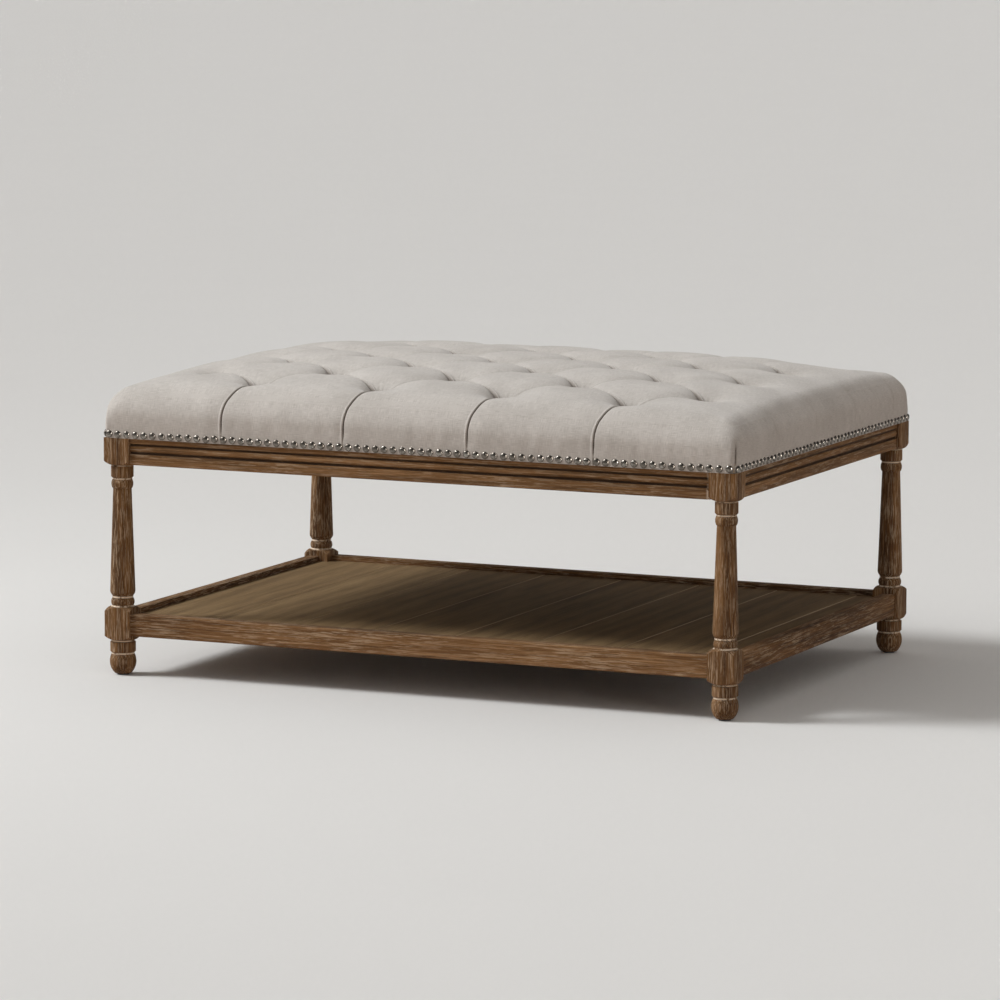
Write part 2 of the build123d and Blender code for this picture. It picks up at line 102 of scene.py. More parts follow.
# %% Signal, Graph and Finish
class Signal:
    """A number that varies over a surface: one output socket that sums can be written with."""

    def __init__(self, graph, socket):
        self.graph = graph
        self.socket = socket

    def maths(self, operation, first, second=0.0):
        return self.graph.node("ShaderNodeMath", {"operation": operation}, {0: first, 1: second})

    def __add__(self, other):
        return self.maths("ADD", self, other)

    __radd__ = __add__

    def __sub__(self, other):
        return self.maths("SUBTRACT", self, other)

    def __rsub__(self, other):
        return self.maths("SUBTRACT", other, self)

    def __mul__(self, other):
        return self.maths("MULTIPLY", self, other)

    __rmul__ = __mul__

    def __pow__(self, other):
        return self.maths("POWER", self, other)

    def sine(self):
        return self.maths("SINE", self)

    def magnitude(self):
        return self.maths("ABSOLUTE", self)

    def capped(self):
        return self.maths("MINIMUM", self, 1.0)

    def above(self, edge, softness):
        """A mask that is none below the edge and rises to one across the softness."""
        return self.graph.node(
            "ShaderNodeMapRange",
            {"interpolation_type": "SMOOTHSTEP"},
            {"Value": self, "From Min": edge, "From Max": edge + softness},
        )


class Graph:
    """A node tree, and a short way to add nodes to it."""

    def __init__(self, owner):
        owner.use_nodes = True
        self.tree = owner.node_tree

    def node(self, kind, settings=None, sockets=None, output=0):
        node = self.tree.nodes.new(kind)
        for key, value in (settings or {}).items():
            setattr(node, key, value)
        for key, value in (sockets or {}).items():
            self.put(node.inputs[key], value)
        return Signal(self, node.outputs[output])

    def put(self, socket, value):
        if isinstance(value, Signal):
            self.tree.links.new(value.socket, socket)
        else:
            socket.default_value = value


class Finish(Graph):
    """A material with one Principled shader."""

    def __init__(self, name, **sockets):
        self.material = bpy.data.materials.new(name)
        super().__init__(self.material)
        self.shader = self.tree.nodes["Principled BSDF"]
        for socket, value in sockets.items():
            self.shader.inputs[socket.replace("_", " ")].default_value = value

    def place(self):
        return self.node("ShaderNodeTexCoord", output="Object")

    def split(self, vector):
        node = self.tree.nodes.new("ShaderNodeSeparateXYZ")
        self.put(node.inputs[0], vector)
        return [Signal(self, node.outputs[i]) for i in range(3)]

    def join(self, x, y, z):
        return self.node("ShaderNodeCombineXYZ", None, {0: x, 1: y, 2: z})

    def noise(self, vector, scale, detail=3.0, roughness=0.55):
        sockets = {"Vector": vector, "Scale": scale, "Detail": detail, "Roughness": roughness}
        return self.node("ShaderNodeTexNoise", None, sockets)

    def openness(self, reach, **settings):
        """How open the surface is to what lies within reach, by ambient occlusion."""
        return self.node(
            "ShaderNodeAmbientOcclusion", {"samples": 6, **settings}, {"Distance": reach}, "AO"
        )

    def colour(self, mask, low, high):
        """A blend of two colours, or of a colour and a blend, by a mask."""
        low, high = [v if isinstance(v, Signal) else (*v, 1.0) for v in (low, high)]
        return self.node("ShaderNodeMix", {"data_type": "RGBA"}, {0: mask, 6: low, 7: high}, 2)

    def shade(self, colour, roughness, height=None, depth=0.0):
        self.put(self.shader.inputs["Base Color"], colour)
        self.put(self.shader.inputs["Roughness"], roughness)
        if height is not None:
            bump = self.node(
                "ShaderNodeBump", None, {"Height": height, "Distance": depth, "Strength": 1.0}
            )
            self.put(self.shader.inputs["Normal"], bump)
        return self.material


print("shader helpers ready")

# %% [markdown]
# ## Floor and light
# A plain pale floor lets the table stand by itself. A low sun with a wide disc stands for a
# large softbox on the left, a lamp beside it lifts the front, and a weak one lifts the right
# end. The sky fills the rest, so that a mid-tone facing the light renders about as bright as it
# is written. Reflected rays meet a dim room with one bright panel in place of that even sky, so
# each nail gets its gleam. The floor throws a warmer and darker light back up than it shows.

# %% Floor
FLOOR_HALF = 90.0
FLOOR_COLOUR = (0.78, 0.77, 0.75)
FLOOR_BOUNCE = (0.46, 0.37, 0.31)
SKY_COLOUR = (1.0, 0.96, 0.925, 1.0)
SKY_LEVEL = 0.41
SEEN_RAYS = ("Is Camera Ray", "Is Glossy Ray", "Is Transmission Ray")
PANEL_WAY = Vector((0.80, -0.58, 0.10)).normalized()
PANEL_RADIUS = math.radians(10)
PANEL_BLUR = 1.3
PANEL_LEVEL = 22.0
DIM_ROOM = 0.06


def make_floor():
    mesh = bpy.data.meshes.new("floor")
    half = FLOOR_HALF
    corners = [(-half, -half, 0), (half, -half, 0), (half, half, 0), (-half, half, 0)]
    mesh.from_pydata(corners, [], [(0, 1, 2, 3)])
    floor = add_object("floor", mesh)
    finish = Finish("floor_paint")
    mottle = finish.noise(finish.place(), 3.0)
    pale = finish.colour(mottle, [v * 0.985 for v in FLOOR_COLOUR], FLOOR_COLOUR)
    rays = [finish.node("ShaderNodeLightPath", output=name) for name in SEEN_RAYS]
    seen = (rays[0] + rays[1] + rays[2]).capped()
    tone = finish.colour(seen, FLOOR_BOUNCE, pale)
    mesh.materials.append(finish.shade(tone, 0.85 + mottle * 0.05))


def make_sky():
    world = bpy.data.worlds.new("sky")
    sky = Graph(world)
    way = sky.node("ShaderNodeTexCoord", output="Generated")
    toward = sky.node(
        "ShaderNodeVectorMath", {"operation": "DOT_PRODUCT"}, {0: way, 1: PANEL_WAY}, "Value"
    )
    edges = {"From Min": math.cos(PANEL_RADIUS * PANEL_BLUR), "From Max": math.cos(PANEL_RADIUS)}
    levels = {"To Min": DIM_ROOM, "To Max": PANEL_LEVEL}
    panel = sky.node("ShaderNodeMapRange", None, {"Value": toward, **edges, **levels})
    mirrored = sky.node("ShaderNodeLightPath", output="Is Glossy Ray")
    level = sky.node("ShaderNodeMix", None, {0: mirrored, 2: SKY_LEVEL, 3: panel})
    background = sky.tree.nodes["Background"]
    background.inputs["Color"].default_value = SKY_COLOUR
    sky.put(background.inputs["Strength"], level)
    bpy.context.scene.world = world


make_floor()
make_sky()
bpy.context.scene.view_settings.view_transform = "Standard"

# %% Lamps
SEAT_AIM = (0, 0, 0.35)
COOL, WARM = (0.965, 0.985, 1.0), (1.0, 0.975, 0.94)


def make_lamp(name, kind, place, target, power, colour, **shape):
    data = bpy.data.lights.new(name, kind)
    data.energy = power
    data.color = colour
    for key, value in shape.items():
        setattr(data, key, value)
    lamp = add_object(name, data)
    lamp.location = place
    direction = Vector(target) - Vector(place)
    lamp.rotation_euler = direction.to_track_quat("-Z", "Y").to_euler()


make_lamp("key", "SUN", (-4.8, -2.0, 4.7), (0, 0, 0), 1.9, COOL, angle=math.radians(16))
make_lamp("window", "AREA", (-2.4, -1.0, 1.9), SEAT_AIM, 23, COOL, size=1.2)
make_lamp("rim", "AREA", (4.0, -2.6, 1.1), SEAT_AIM, 6, WARM, size=0.5)

# %% [markdown]
# ## Weathered oak
# The legs and rails are oak, stained a mid brown and rubbed with lime. Oak has long dark
# fibres, short open pores that the pale lime fills, and growth rings that show as slow bands.
# All of them run along the piece, so one recipe is told which way the piece lies. The rings
# come from the distance to a pith that lies beside the piece, and the fibres from noises
# stretched along the grain. Lime also stays in crevices, which ambient occlusion finds. A last
# step adds what one kind of piece has alone: lime paste in the turned grooves of the legs,
# painted shade darkening the two quirks of the aprons, and lime on the bevels between the
# shelf boards.

# %% Oak
# The tones of each wood: dark fibres, body and pale bands
APRON = (0.105, 0.052, 0.019), (0.228, 0.114, 0.043), (0.365, 0.208, 0.097)
RAIL = (0.050, 0.022, 0.008), (0.180, 0.086, 0.030), (0.330, 0.185, 0.084)
TURNED = (0.064, 0.028, 0.009), (0.186, 0.089, 0.030), (0.310, 0.174, 0.076)
SHELF = (0.155, 0.095, 0.043), (0.230, 0.147, 0.068), (0.290, 0.193, 0.094)
LIME = (0.590, 0.445, 0.300)
LIME_PASTE = (0.820, 0.690, 0.540)
# Painted shade for the two quirks of the aprons, standing in for the shadow in the grooves
PAINTED_QUIRK_SHADE = (0.022, 0.010, 0.004)
# Heights and half widths of the turned grooves, and heights of the quirks, in millimetres
LEG_GROOVES = ((32.5, 0.9), (51.4, 0.8), (103.6, 0.8), (117.0, 1.0), (293.8, 0.8), (313.6, 0.7))
APRON_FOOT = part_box("apron_front")[0][2]
APRON_QUIRKS = (17.75, 30.25)
QUIRK_HALF = 1.5
BAND_BLUR = 0.5 * MM
BLOCK_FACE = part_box("leg_front_right")[0][0]
GRAIN_AXES = {"x": 0, "y": 1, "z": 2}
GRAIN_DEPTH = 0.40 * MM
CREVICE_REACH = 3 * MM


def grained(finish, axis, across, along, detail=2.0, roughness=0.55):
    """A noise squeezed across the grain and stretched along it."""
    scale = [across] * 3
    scale[GRAIN_AXES[axis]] = along
    squeezed = finish.node("ShaderNodeMapping", None, {"Vector": finish.place(), "Scale": scale})
    return finish.noise(squeezed, 1.0, detail, roughness)


def bands(height, places):
    """A mask that is one at each of the given heights, within its half width."""
    mask = 0.0
    for centre, half in places:
        mask = 1 - (height - centre).magnitude().above(half, BAND_BLUR) + mask
    return mask


def limed_grooves(finish, body):
    """Lime paste that has stayed in the turned grooves of a leg."""
    height = finish.split(finish.place())[2]
    patchy = finish.noise(finish.place(), 160.0, 2.0).above(0.34, 0.20)
    mask = bands(height, [(centre * MM, half * MM) for centre, half in LEG_GROOVES])
    return finish.colour(mask * patchy * 0.9, body, LIME_PASTE)


def quirk_shade_and_joint_lime(finish, body):
    """Painted shade in the two quirks of an apron, and a dab of lime at its right-hand joint."""
    x, _, height = finish.split(finish.place())
    quirks = [(APRON_FOOT + centre * MM, QUIRK_HALF * MM) for centre in APRON_QUIRKS]
    # The quirks are darkened in the colour: painted shade for the shadow in the grooves
    body = finish.colour(bands(height, quirks) * 0.85, body, PAINTED_QUIRK_SHADE)
    dabs = finish.noise(finish.place(), 150.0, 3.0).above(0.40, 0.16)
    joint = x.above(BLOCK_FACE - 6 * MM, 5 * MM) * (1 - x.above(BLOCK_FACE, 1 * MM))
    return finish.colour(joint * dabs * 0.6, body, LIME_PASTE)


def limed_bevels(finish, body):
    """Lime on the narrow bevels where two shelf boards meet."""
    across = finish.split(finish.node("ShaderNodeNewGeometry", output="True Normal"))[0]
    return finish.colour(across.magnitude().above(0.3, 0.2) * 0.55, body, LIME)


def make_oak(name, axis, tones, lime=1.0, detail=None):
    """Limed oak with its grain along an axis, and a last step for what one piece has alone."""
    finish = Finish(name, Specular_IOR_Level=0.22)
    dark, body, pale = tones
    sway = grained(finish, axis, 14.0, 2.2)
    coords = finish.split(finish.place())
    across = [c for i, c in enumerate(coords) if i != GRAIN_AXES[axis]]
    pith = [across[0] + 0.021, across[1] - 0.013]
    radius = (pith[0] * pith[0] + pith[1] * pith[1]) ** 0.5
    rings = (radius * 190.0 + sway * 11.0).sine() * 0.5 + 0.5
    cloud = grained(finish, axis, 26.0, 3.0)
    streak = grained(finish, axis, 170.0, 4.5, 3.0, 0.6)
    fibre = grained(finish, axis, 600.0, 11.0, 3.0, 0.65)
    pores = grained(finish, axis, 900.0, 24.0, 2.0, 0.5)
    flecks = grained(finish, axis, 620.0, 34.0, 3.0, 0.7)
    patches = grained(finish, axis, 30.0, 12.0)
    figure = rings * 0.10 + cloud * 0.20 + streak * 0.26 + fibre * 0.48
    body = finish.colour(figure.above(0.40, 0.18), dark, body)
    body = finish.colour(figure.above(0.54, 0.16), body, pale)
    cracks = (1 - pores).above(0.55, 0.06) * streak.above(0.40, 0.25)
    body = finish.colour(cracks * 0.7, body, dark)
    hidden = 1 - finish.openness(CREVICE_REACH, only_local=True)
    crevice = hidden.above(0.40, 0.45) * cloud.above(0.45, 0.2)
    spread = patches.above(0.34, 0.26) * 0.55 + 0.30
    limed = flecks.above(0.485, 0.13) * spread * 0.60 + crevice * 0.35
    body = finish.colour((limed * lime).capped(), body, LIME)
    if detail:
        body = detail(finish, body)
    roughness = 0.66 + fibre * 0.16
    height = fibre * 0.6 + pores * 0.8 + rings * 0.15
    return finish.shade(body, roughness, height, GRAIN_DEPTH)


rail_oak = {axis: make_oak(f"limed_oak_{axis}", axis, RAIL) for axis in "xy"}
apron_oak = {
    axis: make_oak(f"limed_oak_apron_{axis}", axis, APRON, 0.8, quirk_shade_and_joint_lime) for axis in "xy"
}
leg_oak = make_oak("limed_oak_turned", "z", TURNED, 1.15, limed_grooves)
shelf_oak = make_oak("shelf_oak", "y", SHELF, 0.12, limed_bevels)
print("oak finishes:", [m.name for m in bpy.data.materials if "oak" in m.name])

# %% [markdown]
# ## Linen
# The cover is a plain-woven linen, grey-beige, with thicker slub threads here and there. A
# thread is under a millimetre wide, so each way of the weave is a noise drawn out along it.
# The cloth turns over the cushion's edge, so the weave reads X and Y on top, and height on
# the sides, chosen by which way the surface faces. Ambient occlusion darkens the deep folds,
# as little of a room's soft light reaches into real ones.

# %% Cloth finishes
LINEN_DARK = (0.416, 0.385, 0.351)
LINEN_LIGHT = (0.651, 0.613, 0.572)
LINEN_FOLD = (0.150, 0.122, 0.098)
FOLD_SHADE = 0.85
FOLD_SHADE_REACH = 28 * MM
WEAVE_DEPTH = 0.25 * MM
DUST_TONES = (0.010, 0.010, 0.011), (0.040, 0.040, 0.042)


def cloth_coordinates(finish):
    x, y, z = finish.split(finish.place())
    facing = finish.split(finish.node("ShaderNodeNewGeometry", output="Normal"))
    side = facing[0].magnitude().above(0.66, 0.06)
    front = facing[1].magnitude().above(0.66, 0.06)
    upright = side.maths("MAXIMUM", side, front)
    warp = x * (1 - side) + y * side
    weft = y * (1 - upright) + z * upright
    return warp, weft


def make_linen():
    finish = Finish("linen", Specular_IOR_Level=0.15, Sheen_Weight=0.25, Sheen_Roughness=0.5)
    warp, weft = cloth_coordinates(finish)
    over = finish.noise(finish.join(warp * 1500.0, weft * 90.0, 0.0), 1.0, 1.5, 0.5)
    under = finish.noise(finish.join(warp * 90.0, weft * 1500.0, 4.0), 1.0, 1.5, 0.5)
    slub = finish.noise(finish.join(warp * 34.0, weft * 700.0, 9.0), 1.0, 2.0, 0.5)
    slub_up = finish.noise(finish.join(warp * 700.0, weft * 34.0, 17.0), 1.0, 2.0, 0.5)
    cloud = finish.noise(finish.place(), 16.0, 3.0)
    thread = over * 0.5 + under * 0.5
    knots = slub.above(0.60, 0.12) + slub_up.above(0.60, 0.12)
    tone = thread * 1.35 + cloud * 0.5 - 0.43 - knots * 0.12
    colour = finish.colour(tone.above(0.10, 0.80), LINEN_DARK, LINEN_LIGHT)
    hidden = 1 - finish.openness(FOLD_SHADE_REACH)
    colour = finish.colour(hidden.above(0.15, 0.30) * FOLD_SHADE, colour, LINEN_FOLD)
    return finish.shade(colour, 0.86 + thread * 0.08, thread + knots * 0.25, WEAVE_DEPTH)


def make_black(name, tones, grain, roughness, depth, specular=0.5):
    finish = Finish(name, Specular_IOR_Level=specular)
    grit = finish.noise(finish.place(), *grain)
    colour = finish.colour(grit, *tones)
    return finish.shade(colour, roughness[0] + grit * roughness[1], grit, depth)


linen = make_linen()
dust_cloth = make_black("dust_cloth", DUST_TONES, (900.0, 3.0), (0.8, 0.1), 0.1 * MM, 0.2)

# %% [markdown]
# ## Metal, pine, plywood and nylon
# The nail heads are plated an antique silver: bright on the crown, dulled by a brown patina
# where hands and polish don't reach. The bolts and screws under the seat are plain zinc.

# %% Metals and the rest
PINE_DARK, PINE_LIGHT = (0.45, 0.29, 0.15), (0.70, 0.52, 0.32)
PLY_DARK, PLY_LIGHT = (0.30, 0.19, 0.10), (0.62, 0.47, 0.30)
NYLON_TONES = (0.020, 0.020, 0.021), (0.045, 0.045, 0.046)


def make_metal(name, bright, dull, roughness, dirt):
    finish = Finish(name, Metallic=1.0)
    smear = finish.noise(finish.place(), 260.0, 3.0)
    patches = finish.noise(finish.place(), 60.0, 2.0)
    worn = (smear * 0.6 + patches * 0.4).above(0.5 - dirt, 0.25)
    colour = finish.colour(worn, dull, bright)
    return finish.shade(colour, roughness + 0.16 * (1 - worn), smear, 0.05 * MM)


def make_pine(axis):
    finish = Finish(f"frame_pine_{axis}", Specular_IOR_Level=0.3)
    fibre = grained(finish, axis, 260.0, 6.0, 4.0)
    figure = fibre * 0.6 + grained(finish, axis, 60.0, 2.0) * 0.4
    colour = finish.colour(figure, PINE_DARK, PINE_LIGHT)
    return finish.shade(colour, 0.62 + fibre * 0.1, fibre, 0.2 * MM)


def make_plywood():
    finish = Finish("plywood", Specular_IOR_Level=0.3)
    height = finish.split(finish.place())[2]
    plies = (height * 1570.0).sine().above(0.0, 0.4)
    fibre = grained(finish, "x", 220.0, 6.0, 4.0)
    colour = finish.colour(plies * 0.4 + fibre * 0.6, PLY_DARK, PLY_LIGHT)
    return finish.shade(colour, 0.7 + fibre * 0.1, fibre, 0.2 * MM)


nail_silver = make_metal("nail_silver", (0.36, 0.335, 0.30), (0.17, 0.148, 0.125), 0.20, 0.06)
zinc = make_metal("zinc_steel", (0.68, 0.69, 0.68), (0.48, 0.49, 0.48), 0.34, 0.05)
pine = {axis: make_pine(axis) for axis in GRAIN_AXES}
plywood = make_plywood()
nylon = make_black("glide_nylon", NYLON_TONES, (700.0, 2.0), (0.45, 0.2), 0.05 * MM)

# %% Give the frame's own nodes their finishes
def dress(node, material):
    for slot in nodes[node].material_slots:
        slot.material = material


def axis_of(side):
    return "x" if side in ("front", "back") else "y"


SIDES = ("front", "right", "back", "left")
CORNERS = ("front_left", "front_right", "back_left", "back_right")
for corner in CORNERS:
    dress(f"leg_{corner}", leg_oak)
    dress(f"foot_glide_{corner}", nylon)
    dress(f"corner_brace_{corner}", pine["z"])
for side in SIDES:
    dress(f"apron_{side}", apron_oak[axis_of(side)])
    dress(f"shelf_rail_{side}", rail_oak[axis_of(side)])
    dress(f"shelf_cleat_{side}", pine[axis_of(side)])
for node in nodes:
    if node.startswith("shelf_board"):
        dress(node, shelf_oak)
dress("shelf_bearer", pine["x"])
dress("seat_deck", plywood)
for node in ("corner_bolts", "corner_nuts", "deck_screws"):
    dress(node, zinc)

# %% [markdown]
# ## The cushion's pattern
# A diamond-tufted top is one large cloth with a button tied down at each crossing. Rows hold
# four and five buttons by turns. Between neighbouring buttons the spare cloth folds into a
# seam, and from the outer buttons the folds run straight out over the edge and down to the
# nails. Everything below follows from the button places and from that list of seams.

# %% Tufts and seams
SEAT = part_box("cushion_cover")
HALF_X, HALF_Y = SEAT[1][0], SEAT[1][1]
SEAT_BOTTOM = SEAT[0][2]
TUFT_ROWS = 8
LONG_ROW = 5
SIDE_BORDER = 107 * MM
FRONT_BORDER = 75.2 * MM
HALF_PITCH = (HALF_X - SIDE_BORDER) / (LONG_ROW - 1)
ROW_PITCH = 2 * (HALF_Y - FRONT_BORDER) / (TUFT_ROWS - 1)


def tuft_row(row):
    """The tufts of one row, as plan places."""
    count = LONG_ROW - 1 + row % 2
    y = -HALF_Y + FRONT_BORDER + row * ROW_PITCH
    return [((2 * i - count + 1) * HALF_PITCH, y) for i in range(count)]


tufts = [tuft for row in range(TUFT_ROWS) for tuft in tuft_row(row)]
# The seams between buttons: every side of every diamond, as pairs of plan places
seams = [
    (here, there)
    for row in range(TUFT_ROWS - 1)
    for here in tuft_row(row)
    for there in tuft_row(row + 1)
    if abs(there[0] - here[0]) < 1.5 * HALF_PITCH
]
front_pleats = [x for x, _ in tuft_row(0)]
back_pleats = [x for x, _ in tuft_row(TUFT_ROWS - 1)]
side_pleats = [tuft_row(row)[0][1] for row in range(1, TUFT_ROWS, 2)]
print("tufts:", len(tufts), "seams:", len(seams), "side pleats:", len(side_pleats))

# %% [markdown]
# ## How deep the cloth is drawn
# Five things set the height of the cloth: a slow crown over the whole seat, a round cone with
# a pit at each button, small gathers round it, a shallow valley along each seam, and the folds
# beside the valley. Halfway along a seam the puffs nearly touch, so the valley is slight there.
# On a seam that runs back to the left the cloth is tucked under, which leaves a pocket below a
# thin lip. On the others it is only pinched, with a lip on both sides of a narrow gap.

# %% Crown and seams
EDGE_HEIGHT = 74.5 * MM
CROWN = 39 * MM
CROWN_POWERS = (4.5, 3.4)
CONE_DEPTH = 30 * MM
CONE_REACH = 18 * MM
OUTER_STEEPNESS = 1.5
PIT_DEPTH = 25 * MM
PIT_REACH = 8.5 * MM
VALLEY_DEPTH = 3 * MM
VALLEY_REACH = 12 * MM
CREASE_DEPTH = 1.6 * MM
CREASE_REACH = 2.5 * MM
FOLD_LENGTH = 36 * MM
POCKET_STEP = 6.5 * MM
POCKET_REACH = 11 * MM
LIP_HEIGHT = 3.2 * MM
LIP_PLACE = 2 * MM
LIP_WIDTH = 1.6 * MM
OTHER_LIP = 0.6
FOLD_GAP = 2.2 * MM
FOLD_GAP_WIDTH = 1 * MM
GATHERS = 13
GATHER_DEPTH = 0.28 * MM
GATHER_PLACE = 13 * MM
GATHER_REACH = 9 * MM


def crest(x, y):
    """The height of the puffs' tops."""
    along = 1 - np.minimum(np.abs(x) / HALF_X, 1) ** CROWN_POWERS[0]
    across = 1 - np.minimum(np.abs(y) / HALF_Y, 1) ** CROWN_POWERS[1]
    return SEAT_BOTTOM + EDGE_HEIGHT + CROWN * along * across


def bell(offset, reach):
    return np.exp(-((offset / reach) ** 2))


def beside_seam(x, y, seam):
    """The distance from a seam's line, with a sign for its side, and past its ends."""
    (ax, ay), (bx, by) = seam
    dx, dy = bx - ax, by - ay
    length = math.hypot(dx, dy)
    along = ((x - ax) * dx + (y - ay) * dy) / length
    side = ((x - ax) * dy - (y - ay) * dx) / length
    past = np.maximum(np.maximum(-along, along - length), 0)
    return side, np.hypot(side, past)


def around_tufts(x, y):
    """The distance to the nearest button, the cones of all buttons, and their small gathers."""
    nearest = np.full_like(x, np.inf)
    gathers = np.zeros_like(x)
    cones = np.zeros_like(x)
    for index, (tx, ty) in enumerate(tufts):
        outer = abs(ty) > HALF_Y - FRONT_BORDER - 1 * MM
        beyond = outer & ((y - ty) * ty > 0)
        distance = np.hypot(x - tx, (y - ty) * np.where(beyond, OUTER_STEEPNESS, 1))
        turn = np.arctan2(y - ty, x - tx)
        wave = np.sin(GATHERS * turn + 2.1 * index + 1.3 * np.sin(3 * turn + index))
        ring = GATHER_DEPTH * wave * bell(distance - GATHER_PLACE, GATHER_REACH)
        gathers = np.where(distance < nearest, ring, gathers)
        nearest = np.minimum(nearest, distance)
        cones += CONE_DEPTH * np.exp(-distance / CONE_REACH)
    return nearest, cones, gathers


def draw_depth(x, y):
    """How far the seams and buttons pull the cloth down at a plan place."""
    to_tuft, cones, gathers = around_tufts(x, y)
    valleys = np.zeros_like(x)
    folds = np.zeros_like(x)
    for seam in seams:
        side, distance = beside_seam(x, y, seam)
        valley = VALLEY_DEPTH * bell(distance, VALLEY_REACH)
        valleys = np.maximum(valleys, valley + CREASE_DEPTH * np.exp(-distance / CREASE_REACH))
        past = distance - np.abs(side)
        lip = LIP_HEIGHT * bell(np.hypot(side - LIP_PLACE, past), LIP_WIDTH)
        if seam[1][0] < seam[0][0]:
            tuck = np.where(side <= CLOSE, np.exp(-(distance / POCKET_REACH)), 0)
            fold = POCKET_STEP * tuck - lip
        else:
            other = OTHER_LIP * LIP_HEIGHT * bell(np.hypot(side + LIP_PLACE, past), LIP_WIDTH)
            fold = FOLD_GAP * bell(distance, FOLD_GAP_WIDTH) - lip - other
        folds = np.where(np.abs(fold) > np.abs(folds), fold, folds)
    pit = PIT_DEPTH * bell(to_tuft, PIT_REACH)
    near_tuft = bell(to_tuft, FOLD_LENGTH)
    return (cones**4 + pit**4) ** (1 / 4) + valleys + near_tuft * folds + gathers


# %% [markdown]
# The pleats run over the edge and down the walls. Each is a fold laid over itself: from its
# left the cloth sinks slowly and ends in a thin raised lip, and beside the lip lies a narrow
# dark gap. The outer rows of buttons sit a little to one side of the pattern, and from them
# the front and back folds drift the other way as they run down.

# %% Pleats
PLEAT_SINK = 1.8 * MM
PLEAT_SINK_REACH = 16 * MM
PLEAT_LIP = 1.7 * MM
PLEAT_LIP_PLACE = -2.3 * MM
PLEAT_LIP_WIDTH = 1.5 * MM
PLEAT_GAP = 2.1 * MM
PLEAT_GAP_WIDTH = 0.65 * MM
PLEAT_RISE = 1.6 * MM
PLEAT_RISE_REACH = 5 * MM
PLEAT_ONSET = 8 * MM
SIDE_PLEAT_SHARE = 0.45
ROW_SHIFT = 11 * MM
ROW_SHIFT_REACH = 46 * MM
ROW_SHIFT_FADE = 90 * MM
PLEAT_DRIFT = 11 * MM
PLEAT_DRIFT_LENGTH = 125 * MM
PLEAT_DRIFT_REACH = 80 * MM


def pleat_profile(offset):
    """The depth across one pleat."""
    left = PLEAT_SINK * np.exp(np.minimum(offset, 0) / PLEAT_SINK_REACH)
    right = PLEAT_RISE * np.exp(-np.maximum(offset, 0) / PLEAT_RISE_REACH)
    slope = np.where(offset < 0, left, right)
    lip = PLEAT_LIP * bell(offset - PLEAT_LIP_PLACE, PLEAT_LIP_WIDTH)
    return slope - lip + PLEAT_GAP * bell(offset, PLEAT_GAP_WIDTH)


def to_nearest(along, places):
    return np.min([np.abs(along - place) for place in places], axis=0)


def pleats_along(along, places):
    """All pleats of one side; the nearest one counts at each place."""
    nearest = to_nearest(along, places)
    depth = np.zeros_like(along)
    for place in places:
        offset = along - place
        depth = np.where(np.abs(offset) <= nearest + TINY, pleat_profile(offset), depth)
    return depth


def smooth(share):
    share = np.clip(share, 0, 1)
    return share * share * (3 - 2 * share)


def pleat_depth(x, y, drop):
    """The pleats' depth on the border of the top and on the walls."""
    past_front = -HALF_Y + FRONT_BORDER - y
    past_back = y - HALF_Y + FRONT_BORDER
    past_side = np.abs(x) - (LONG_ROW - 1) * HALF_PITCH
    on_front = smooth(past_front / PLEAT_ONSET) * (past_front >= past_side)
    on_back = smooth(past_back / PLEAT_ONSET) * (past_back >= past_side)
    on_side = smooth(past_side / PLEAT_ONSET)
    top = drop <= 0
    in_front = np.where(top, on_front, y <= -HALF_Y + CLOSE)
    at_back = np.where(top, on_back, y >= HALF_Y - CLOSE)
    at_side = np.where(top, on_side, np.abs(x) >= HALF_X - CLOSE)
    front = in_front * pleats_along(x, front_pleats)
    back = at_back * pleats_along(-x, [-p for p in back_pleats])
    side = at_side * pleats_along(y, side_pleats)
    return np.maximum(np.maximum(front, back), side * SIDE_PLEAT_SHARE)


def pleat_drift(x, y, drop):
    """How far the front and back folds have wandered sideways."""
    past_row = np.abs(y) - HALF_Y + FRONT_BORDER + drop * (np.abs(y) >= HALF_Y - CLOSE)
    to_pleat = np.where(y < 0, to_nearest(x, front_pleats), to_nearest(x, back_pleats))
    drift = PLEAT_DRIFT * smooth(past_row / PLEAT_DRIFT_LENGTH)
    drift = drift * (1 - smooth(to_pleat / PLEAT_DRIFT_REACH))
    inside = smooth((HALF_X - np.abs(x)) / ROW_SHIFT_FADE)
    return np.sign(y) * (drift - ROW_SHIFT * bell(past_row, ROW_SHIFT_REACH) * inside)


# %% [markdown]
# ## Cutting the cover
# The cover starts as a flat box of quads. Its lines crowd together near the buttons, where
# the folds are sharp, and spread out between them. The same crowding both ways keeps the
# seams exactly on corners of the grid. The edges are then rounded: the plan's four corners
# first, and after that the rim, where each point slides round an arc. The arc is larger at
# the front and back than at the sides.

# %% The grid of quads
CELLS = 52
SIM_STEP = 4
CROWDING = 0.6
SIDE_RIM = 31 * MM
FRONT_RIM = 40 * MM
CORNER_TOP = 34 * MM
CORNER_FOOT = 12 * MM
CORNER_DROP = 62 * MM
WALL_ROWS = 32
WALL_CROWDING = 1.1


def crowded(count):
    """Shares from none to one, closer together at both ends."""
    share = np.linspace(0, 1, count + 1)
    return share - CROWDING / (2 * np.pi) * np.sin(2 * np.pi * share)


def grid_line(half, pitch, inner_half):
    """Grid places along one way: crowded at every tuft line, then out to the edge."""
    steps = crowded(CELLS)[:-1]
    count = round(2 * inner_half / pitch)
    inner = np.concatenate([-inner_half + pitch * (k + steps) for k in range(count)])
    border = SIM_STEP * math.ceil((half - inner_half) / pitch * CELLS / SIM_STEP)
    outward = inner_half + (half - inner_half) * crowded(border)
    return np.concatenate([-outward[::-1], inner[1:], outward])


def plan_corner(drop):
    """The plan's corner radius, which tightens on the way down to the nails."""
    return CORNER_TOP + (CORNER_FOOT - CORNER_TOP) * smooth(drop / CORNER_DROP)


